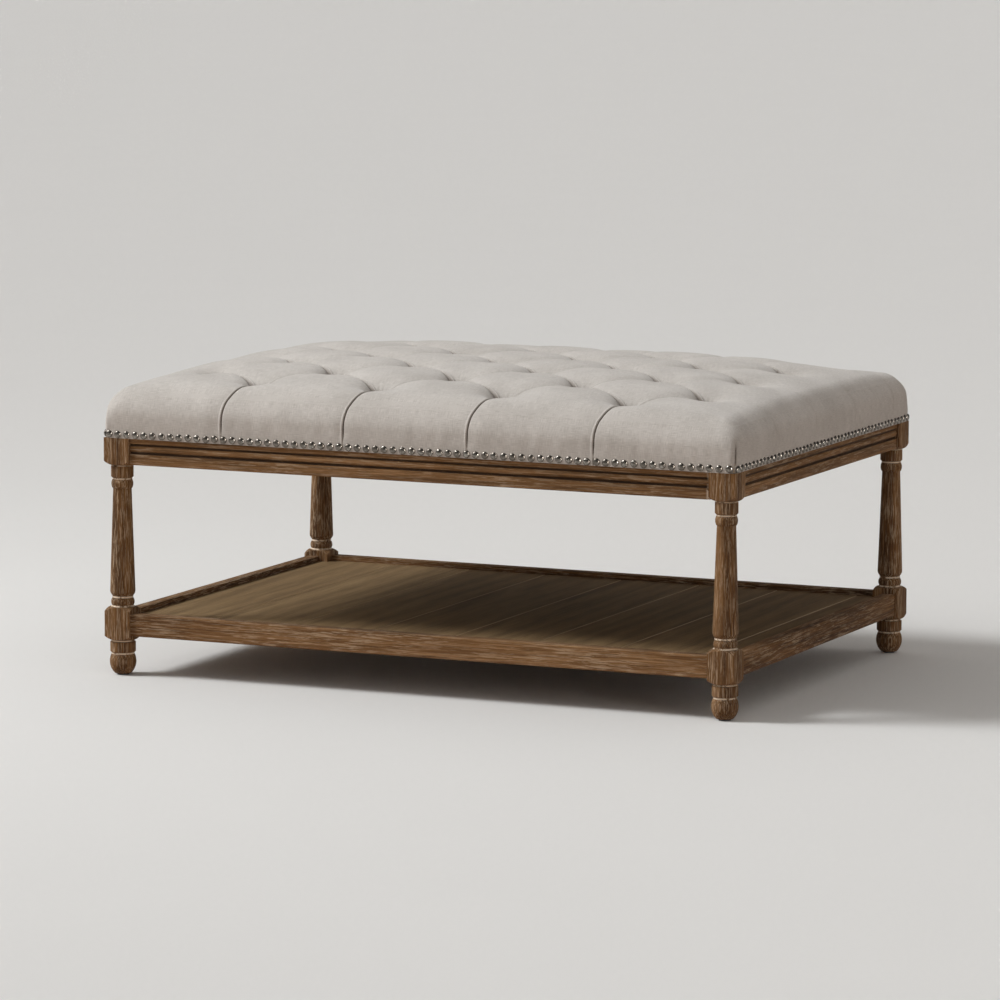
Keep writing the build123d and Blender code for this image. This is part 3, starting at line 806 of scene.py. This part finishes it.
def rounded_plan(x, y, radius):
    """Pull the plan's square corners in to arcs."""
    dx = np.maximum(np.abs(x) - HALF_X + radius, 0)
    dy = np.maximum(np.abs(y) - HALF_Y + radius, 0)
    keep = np.maximum(dx, dy) / np.maximum(np.hypot(dx, dy), TINY)
    corner = dx * dy > 0
    return (
        np.where(corner, np.sign(x) * (HALF_X - radius + dx * keep), x),
        np.where(corner, np.sign(y) * (HALF_Y - radius + dy * keep), y),
    )


def inward(x, y, radius):
    """The distance in from the rounded plan's outline, and the way in."""
    dx, dy = np.abs(x) - HALF_X + radius, np.abs(y) - HALF_Y + radius
    outside = np.hypot(np.maximum(dx, 0), np.maximum(dy, 0))
    distance = radius - outside - np.minimum(np.maximum(dx, dy), 0)
    corner = (dx > 0) & (dy > 0)
    length = np.maximum(outside, TINY)
    way_x = np.where(corner, dx / length, (dx >= dy).astype(float)) * -np.sign(x)
    way_y = np.where(corner, dy / length, (dx < dy).astype(float)) * -np.sign(y)
    return np.maximum(distance, 0), way_x, way_y


xs = grid_line(HALF_X, HALF_PITCH, (LONG_ROW - 1) * HALF_PITCH)
ys = grid_line(HALF_Y, ROW_PITCH, (TUFT_ROWS - 1) / 2 * ROW_PITCH)
print("grid:", len(xs), "by", len(ys), "finest cell, mm:", round(float(np.diff(xs).min()) / MM, 2))

# %% The skin
WALL_SWELL = 2 * MM
NAIL_STRIP = 14 * MM
STRIP_FADE = 14 * MM
HELD_PLEAT = 0.3
DRAG_DEPTH = 0.7 * MM
DRAG_REACH = 22 * MM
DRAG_WAVES = 7
STUFFING = 1.5 * MM
STUFFING_WAVES = 14
CORNER_FOLD_TURN = 55.0
CORNER_FOLD_FOOT = 6 * MM
CORNER_FOLD_ONSET = 8 * MM
CORNER_FOLD_END = 30 * MM
CORNER_FOLD_FADE = 24 * MM
CORNER_CREASE = 3 * MM
CORNER_CREASE_WIDTH = 1.4 * MM
CORNER_ROLL = 1.6 * MM
CORNER_ROLL_PLACE = 6 * MM
CORNER_ROLL_WIDTH = 4 * MM


def stuffing(x, y, z):
    """A slow unevenness of the stuffing, the same each run."""
    waves = np.zeros_like(x)
    wave_rng = np.random.default_rng(11)
    for _ in range(STUFFING_WAVES):
        length = wave_rng.uniform(70, 190) * MM
        way = wave_rng.normal(size=3)
        way /= np.linalg.norm(way)
        phase = wave_rng.uniform(0, 2 * np.pi)
        waves += np.sin(2 * np.pi * (x * way[0] + y * way[1] + z * way[2]) / length + phase)
    return waves / STUFFING_WAVES


def drags(along, above):
    """Short upright pulls in the cloth above the nails."""
    wave_rng = np.random.default_rng(5)
    waves = np.zeros_like(along)
    for _ in range(DRAG_WAVES):
        length = wave_rng.uniform(17, 46) * MM
        waves += np.sin(2 * np.pi * along / length + wave_rng.uniform(0, 2 * np.pi))
    return DRAG_DEPTH * waves / 3 * np.exp(-above / DRAG_REACH)


def corner_fold(way_x, way_y, radius, height):
    """At each corner the spare cloth is folded once: a soft roll with a crease beside it."""
    turn = np.arctan2(np.abs(way_x), np.abs(way_y)) - math.radians(CORNER_FOLD_TURN)
    offset = radius * turn
    on_arc = (np.abs(way_x) > CLOSE) & (np.abs(way_y) > CLOSE)
    crease = CORNER_CREASE * bell(offset, CORNER_CREASE_WIDTH)
    roll = CORNER_ROLL * bell(offset + CORNER_ROLL_PLACE, CORNER_ROLL_WIDTH)
    onset = smooth((height - CORNER_FOLD_FOOT) / CORNER_FOLD_ONSET)
    fade = 1 - smooth((height - CORNER_FOLD_END) / CORNER_FOLD_FADE)
    return (crease - roll) * (onset * fade) * on_arc


def skin(x, y, drop, sag):
    """Carry a point of the quad box to the finished cushion.

    The drop is how far down the wall the point starts, or none on the top.
    """
    corner = plan_corner(drop)
    plan_x, plan_y = rounded_plan(x + pleat_drift(x, y, drop), y, corner)
    distance, way_x, way_y = inward(plan_x, plan_y, corner)
    rim = SIDE_RIM * way_x**2 + FRONT_RIM * way_y**2
    across = np.clip(rim - distance, 0, None)
    angle = np.arctan2(across, np.maximum(rim - drop, 0))
    angle = np.where((drop >= rim) & (across > 0), np.pi / 2, angle)
    slide = np.where(across > 0, rim * (1 - np.sin(angle)) - distance, 0)
    fall = np.where(drop < rim, rim * (1 - np.cos(angle)), drop)
    outward = np.sin(angle) * (across > 0)
    upward = np.sqrt(1 - outward**2)
    base = crest(plan_x + way_x * slide, plan_y + way_y * slide) - fall
    height = base - SEAT_BOTTOM
    above = np.clip((height - NAIL_STRIP) / STRIP_FADE, 0, 1)
    depth = sag * upward**2 + draw_depth(x, y) * upward**2
    depth += pleat_depth(x, y, drop) * (HELD_PLEAT + (1 - HELD_PLEAT) * above)
    along = np.where(np.abs(way_y) > 0.5, plan_x, plan_y)
    wall = outward**2 * (drop > 0)
    depth -= wall * WALL_SWELL * np.sin(np.pi * np.clip(height / EDGE_HEIGHT, 0, 1))
    depth += wall * drags(along, np.maximum(height - NAIL_STRIP, 0)) * above
    depth -= STUFFING * stuffing(plan_x, plan_y, base) * np.where(drop > 0, above, 1)
    depth += corner_fold(way_x, way_y, corner, height) * (drop > 0)
    return np.stack(
        [
            plan_x + way_x * (slide + depth * outward),
            plan_y + way_y * (slide + depth * outward),
            base - depth * upward,
        ],
        axis=-1,
    )


# %% Laying the quads out
def ring_of(columns, rows):
    """The grid's outer points in order round the edge."""
    ring = [(i, 0) for i in range(columns - 1)]
    ring += [(columns - 1, j) for j in range(rows - 1)]
    ring += [(i, rows - 1) for i in range(columns - 1, 0, -1)]
    ring += [(0, j) for j in range(rows - 1, 0, -1)]
    return ring


class Box:
    """The quad box at one fineness: its top as a grid and its walls as rings going down."""

    def __init__(self, step):
        self.xs, self.ys = xs[::step], ys[::step]
        self.columns, self.rows = len(self.xs), len(self.ys)
        self.grid = np.meshgrid(self.xs, self.ys, indexing="ij")
        self.ring = ring_of(self.columns, self.rows)
        self.ring_x = np.array([self.xs[i] for i, _ in self.ring])
        self.ring_y = np.array([self.ys[j] for _, j in self.ring])
        self.shares = np.linspace(0, 1, WALL_ROWS // step + 1)[1:] ** WALL_CROWDING

    def seam_rises(self, i, j):
        """Whether the seam that crosses this cell's diamond half runs up to the right."""
        x = (self.xs[i] + self.xs[i + 1]) / 2
        y = (self.ys[j] + self.ys[j + 1]) / 2
        column = math.floor(x / HALF_PITCH)
        row = math.floor((y + HALF_Y - FRONT_BORDER) / ROW_PITCH)
        return (column + row) % 2 == 1

    def shape(self, sag):
        """The top's points as a grid, and the walls' points as rings."""
        top = skin(*self.grid, np.zeros(self.grid[0].shape), sag)
        reach = crest(self.ring_x, self.ring_y) - SEAT_BOTTOM
        walls = [skin(self.ring_x, self.ring_y, reach * s, sag) for s in self.shares]
        return top, np.array(walls)

    def faces(self, extra_rings):
        """Triangles on the top, quads down the walls and inside, and a fan that closes them."""
        quads = []
        for i in range(self.columns - 1):
            for j in range(self.rows - 1):
                a = i * self.rows + j
                b, c, d = a + self.rows, a + self.rows + 1, a + 1
                rising = self.seam_rises(i, j)
                quads += [(a, b, c), (a, c, d)] if rising else [(a, b, d), (b, c, d)]
        previous = [i * self.rows + j for i, j in self.ring]
        start = self.columns * self.rows
        for _ in range(len(self.shares) + extra_rings):
            current = list(range(start, start + len(self.ring)))
            for k in range(len(self.ring)):
                n = (k + 1) % len(self.ring)
                quads.append((previous[k], current[k], current[n], previous[n]))
            previous = current
            start += len(self.ring)
        for k in range(len(self.ring)):
            quads.append((previous[k], start, previous[(k + 1) % len(self.ring)]))
        return quads


def add_mesh(name, points, faces, material, sharp_degrees=40):
    mesh = bpy.data.meshes.new(name)
    mesh.from_pydata([tuple(p) for p in np.asarray(points)], [], faces)
    mesh.validate()
    mesh.materials.append(material)
    mesh.shade_smooth()
    mesh.set_sharp_from_angle(angle=math.radians(sharp_degrees))
    return add_object(name, mesh)


# %% [markdown]
# ## Letting the cloth settle
# A formula gives every puff the same roundness. On the real seat each puff is cloth held at
# its buttons and pushed up by stuffing, so a coarse copy of the cover is inflated as cloth.
# It is pinned at the buttons and along the nails, starts a little low, and has no gravity.
# How far each point rose is kept, with a cap, calmed by a light blur and carried over to the
# fine cover. The fine folds stay with the formulas, because they are finer than its cells.

# %% Simulation
SIM_SAG = 2.5 * MM
SIM_CAP = 6 * MM
SIM_FRAMES = 20
SIM_PRESSURE = 4.0
SIM_QUALITY = 5
PIN_REACH = 11 * MM
PIN_RISE = 4 * MM
CALM_PASSES = 2


def pinned(points, box):
    """The points at the buttons and along the nails."""
    x, y = box.grid
    to_tuft = np.min([np.hypot(x - tx, y - ty) for tx, ty in tufts], axis=0)
    low = points[x.size :, 2] < SEAT_BOTTOM + NAIL_STRIP + PIN_RISE
    return np.flatnonzero(np.concatenate([(to_tuft < PIN_REACH).ravel(), low])).tolist()


def settle(box):
    """Inflate a coarse cover and return how far its top and walls moved."""
    top, walls = box.shape(SIM_SAG)
    under_centre = np.array([[0, 0, SEAT_BOTTOM]])
    points = np.concatenate([top.reshape(-1, 3), walls.reshape(-1, 3), under_centre])
    copy = add_mesh("settling_cover", points, box.faces(0), linen)
    copy.vertex_groups.new(name="pins").add(pinned(points, box), 1.0, "REPLACE")
    cloth = copy.modifiers.new("cloth", "CLOTH")
    cloth.settings.vertex_group_mass = "pins"
    cloth.settings.use_pressure = True
    cloth.settings.uniform_pressure_force = SIM_PRESSURE
    cloth.settings.effector_weights.gravity = 0
    cloth.settings.quality = SIM_QUALITY
    cloth.point_cache.frame_end = SIM_FRAMES
    scene = bpy.context.scene
    for frame_number in range(1, SIM_FRAMES + 1):
        scene.frame_set(frame_number)
    settled = copy.evaluated_get(bpy.context.evaluated_depsgraph_get()).data
    moved = np.empty(len(settled.vertices) * 3)
    settled.vertices.foreach_get("co", moved)
    shift = (moved.reshape(-1, 3) - points)[:-1]
    length = np.linalg.norm(shift, axis=1, keepdims=True)
    shift *= np.minimum(1, SIM_CAP / np.maximum(length, TINY))
    scene.frame_set(1)
    bpy.data.objects.remove(copy)
    split = top.size // 3
    most, mean = float(length.max()) / MM, float(length.mean()) / MM
    print("settled by, mm: at most", round(most, 1), "and on average", round(mean, 2))
    return shift[:split].reshape(top.shape), shift[split:].reshape(walls.shape)


def refine(values, axis, factor, wrap=False):
    """Smooth in-between values along one axis, by the cubic that passes through each."""
    values = np.moveaxis(values, axis, 0)
    if wrap:
        padded = np.concatenate([values[-1:], values, values[:2]])
        count = len(values)
    else:
        padded = np.concatenate([values[:1], values, values[-1:]])
        count = len(values) - 1
    rows = []
    for i in range(count):
        a, b, c, d = padded[i : i + 4]
        for s in range(factor):
            t = s / factor
            bend = 2 * a - 5 * b + 4 * c - d + t * (3 * (b - c) + d - a)
            rows.append(b + 0.5 * t * (c - a + t * bend))
    if not wrap:
        rows.append(values[-1])
    return np.moveaxis(np.array(rows), 0, axis)


def calmed(values, axis, wrap=False):
    """A light blur along one axis, against creases smaller than the coarse cells can carry."""
    values = np.moveaxis(values, axis, 0)
    for _ in range(CALM_PASSES):
        ends = (values[-1:], values[:1]) if wrap else (values[:1], values[-1:])
        padded = np.concatenate([ends[0], values, ends[1]])
        values = (padded[:-2] + 2 * padded[1:-1] + padded[2:]) / 4
    return np.moveaxis(values, 0, axis)


fine = Box(1)
coarse = Box(SIM_STEP)
top_shift, wall_shift = settle(coarse)
top_shift = calmed(calmed(top_shift, 0), 1)
wall_shift = calmed(calmed(wall_shift, 1, wrap=True), 0)

# %% The finished cushion
HEM_RISE = 0.05 * MM
HEM_ROOM = 0.3 * MM
DECK_ROOM = 0.1 * MM


def under_rings(box):
    """The hem's underside, its inner edge and the hollow that the deck fills."""
    x, y = rounded_plan(box.ring_x, box.ring_y, CORNER_FOOT)
    deck_low, deck_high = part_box("seat_deck")
    hem = [reach + HEM_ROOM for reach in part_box("dust_cover")[1]]
    deck = [reach + DECK_ROOM for reach in deck_high]
    lid = deck_low[2] - HEM_RISE
    rings = []
    for (reach_x, reach_y, _), z in ((hem, SEAT_BOTTOM), (hem, lid), (deck, lid), (deck, deck[2])):
        ring = [x * reach_x / HALF_X, y * reach_y / HALF_Y, np.full(len(x), z)]
        rings.append(np.stack(ring, axis=1))
    return rings


def make_cushion():
    settled = top_shift is not None
    top, walls = fine.shape(SIM_SAG if settled else 0.0)
    if settled:
        top += refine(refine(top_shift, 0, SIM_STEP), 1, SIM_STEP)
        edge = np.array([[top_shift[i, j] for i, j in coarse.ring]])
        rings = np.concatenate([edge, wall_shift])
        walls += refine(refine(rings, 1, SIM_STEP, wrap=True), 0, SIM_STEP)[1:]
    under = under_rings(fine)
    centre = np.array([[0, 0, under[-1][0][2]]])
    points = np.concatenate([top.reshape(-1, 3), walls.reshape(-1, 3), *under, centre])
    return add_mesh("cushion", points, fine.faces(len(under)), linen, 70)


cushion = make_cushion()
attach(cushion, "root")
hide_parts("cushion_cover", "foam_pad")
print("cushion:", len(cushion.data.vertices), "points")

# %% [markdown]
# ## Buttons and nails
# Both are small domes turned from a short profile. A button is a shell covered in the same
# linen, sunk in its pit, and a nail head is a bright cap with a turned-down rim. The nails
# were driven by hand, so each sits a little off the line and leans a little.

# %% Domes
RIM_TUCK = 0.3 * MM
DOME_ANGLES = (12, 28, 45, 62, 78)


def dome_points(radius, height, flare, sides):
    """A dome's rings from rim to crown, and its faces, standing on Z = 0."""
    rings = [(radius, -RIM_TUCK), (radius, flare)]
    for angle in map(math.radians, DOME_ANGLES):
        rings.append((radius * math.cos(angle), flare + (height - flare) * math.sin(angle)))
    points = []
    for r, z in rings:
        for s in range(sides):
            turn = 2 * math.pi * s / sides
            points.append((r * math.cos(turn), r * math.sin(turn), z))
    points.append((0, 0, height))
    faces = [tuple(range(sides - 1, -1, -1))]
    for ring in range(len(rings) - 1):
        for s in range(sides):
            n = (s + 1) % sides
            a, b = ring * sides, (ring + 1) * sides
            faces.append((a + s, a + n, b + n, b + s))
    last = (len(rings) - 1) * sides
    for s in range(sides):
        faces.append((last + s, last + (s + 1) % sides, len(points) - 1))
    return np.array(points), faces


def many_domes(name, dome, places, material):
    """One piece holding a dome at each of the given matrices."""
    base, base_faces = dome
    points, faces = [], []
    for place in places:
        start = len(points) * len(base)
        matrix = np.array(place)
        points.append(base @ matrix[:3, :3].T + matrix[:3, 3])
        faces += [tuple(i + start for i in face) for face in base_faces]
    return add_mesh(name, np.concatenate(points), faces, material)


# %% Nails along each side
NAIL_RADIUS = 5.5 * MM
NAIL_HEIGHT = 3.2 * MM
NAIL_PITCH = 14.4 * MM
NAIL_FLARE = 0.5 * MM
NAIL_WANDER = 0.35 * MM
NAIL_LEAN = math.radians(2.5)
SIDE_TURNS = {"front": 0, "right": 90, "back": 180, "left": -90}


def tipped(lean):
    """A small tip about X and Y."""
    return Matrix.Rotation(lean[0], 4, "X") @ Matrix.Rotation(lean[1], 4, "Y")


def nail_places(side):
    low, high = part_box(f"trim_nails_{side}")
    middle = (low[2] + high[2]) / 2
    long_side = axis_of(side) == "x"
    span = (high[0] - low[0] if long_side else high[1] - low[1]) - 2 * NAIL_RADIUS
    reach = HALF_Y if long_side else HALF_X
    count = round(span / NAIL_PITCH)
    turn = Matrix.Rotation(math.radians(SIDE_TURNS[side]), 4, "Z")
    face_out = Matrix.Rotation(math.pi / 2, 4, "X")
    places = []
    for i in range(count + 1):
        along = -span / 2 + span * i / count
        off = rng.normal(size=2) * NAIL_WANDER
        lean = rng.normal(size=2) * NAIL_LEAN
        place = Matrix.Translation((along + off[0], -reach, middle + off[1]))
        places.append(turn @ place @ face_out @ tipped(lean))
    return places


nail = dome_points(NAIL_RADIUS, NAIL_HEIGHT, NAIL_FLARE, 20)
for side in SIDES:
    row = many_domes(f"trim_nails_{side}_row", nail, nail_places(side), nail_silver)
    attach(row, "root")
    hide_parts(f"trim_nails_{side}")
    print(row.name, len(row.data.polygons), "faces")

# %% Buttons in their pits
BUTTON_RADIUS = 7.5 * MM
BUTTON_HEIGHT = 5 * MM
BUTTON_FLARE = 1 * MM
BUTTON_SINK = 1.2 * MM
BUTTON_LEAN = math.radians(5)


def button_places():
    places = []
    for x, y in tufts:
        at = [np.array([v]) for v in (x, y)]
        z = float(crest(*at)[0] - draw_depth(*at)[0])
        x += float(pleat_drift(*at, np.zeros(1))[0])
        lean = rng.normal(size=2) * BUTTON_LEAN
        places.append(Matrix.Translation((x, y, z - BUTTON_SINK)) @ tipped(lean))
    return places


button = dome_points(BUTTON_RADIUS, BUTTON_HEIGHT, BUTTON_FLARE, 24)
buttons = many_domes("covered_buttons", button, button_places(), linen)
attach(buttons, "root")
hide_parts("tuft_buttons")

# %% [markdown]
# ## The dust cover
# Under the deck a thin black cloth is stapled tight, with its corners cut off to clear the
# legs. It sags a few millimetres between its edges.

# %% Dust cover
DUST_SAG = 2.5 * MM
DUST_ROOM = 0.3 * MM
DUST_CELLS = (48, 34)
CUT_LINE = 745.8 * MM


def make_dust_cover(low, high):
    """A sagging sheet whose corners are cut where X and Y add up to the cut line."""
    across, deep = DUST_CELLS
    points, faces = [], []
    for i in range(across + 1):
        for j in range(deep + 1):
            u, v = i / across, j / deep
            sag = DUST_SAG * (math.sin(math.pi * u) * math.sin(math.pi * v)) ** 0.5
            x = low[0] + (high[0] - low[0]) * u
            half = min(high[1], CUT_LINE - abs(x))
            points.append((x, half * (2 * v - 1), high[2] - DUST_ROOM - sag))
    for i in range(across):
        for j in range(deep):
            a = i * (deep + 1) + j
            faces.append((a, a + 1, a + deep + 2, a + deep + 1))
    return add_mesh("dust_cover_cloth", points, faces, dust_cloth)


dust_low, dust_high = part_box("dust_cover")
dust = make_dust_cover(dust_low, dust_high)
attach(dust, "root")
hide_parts("dust_cover")
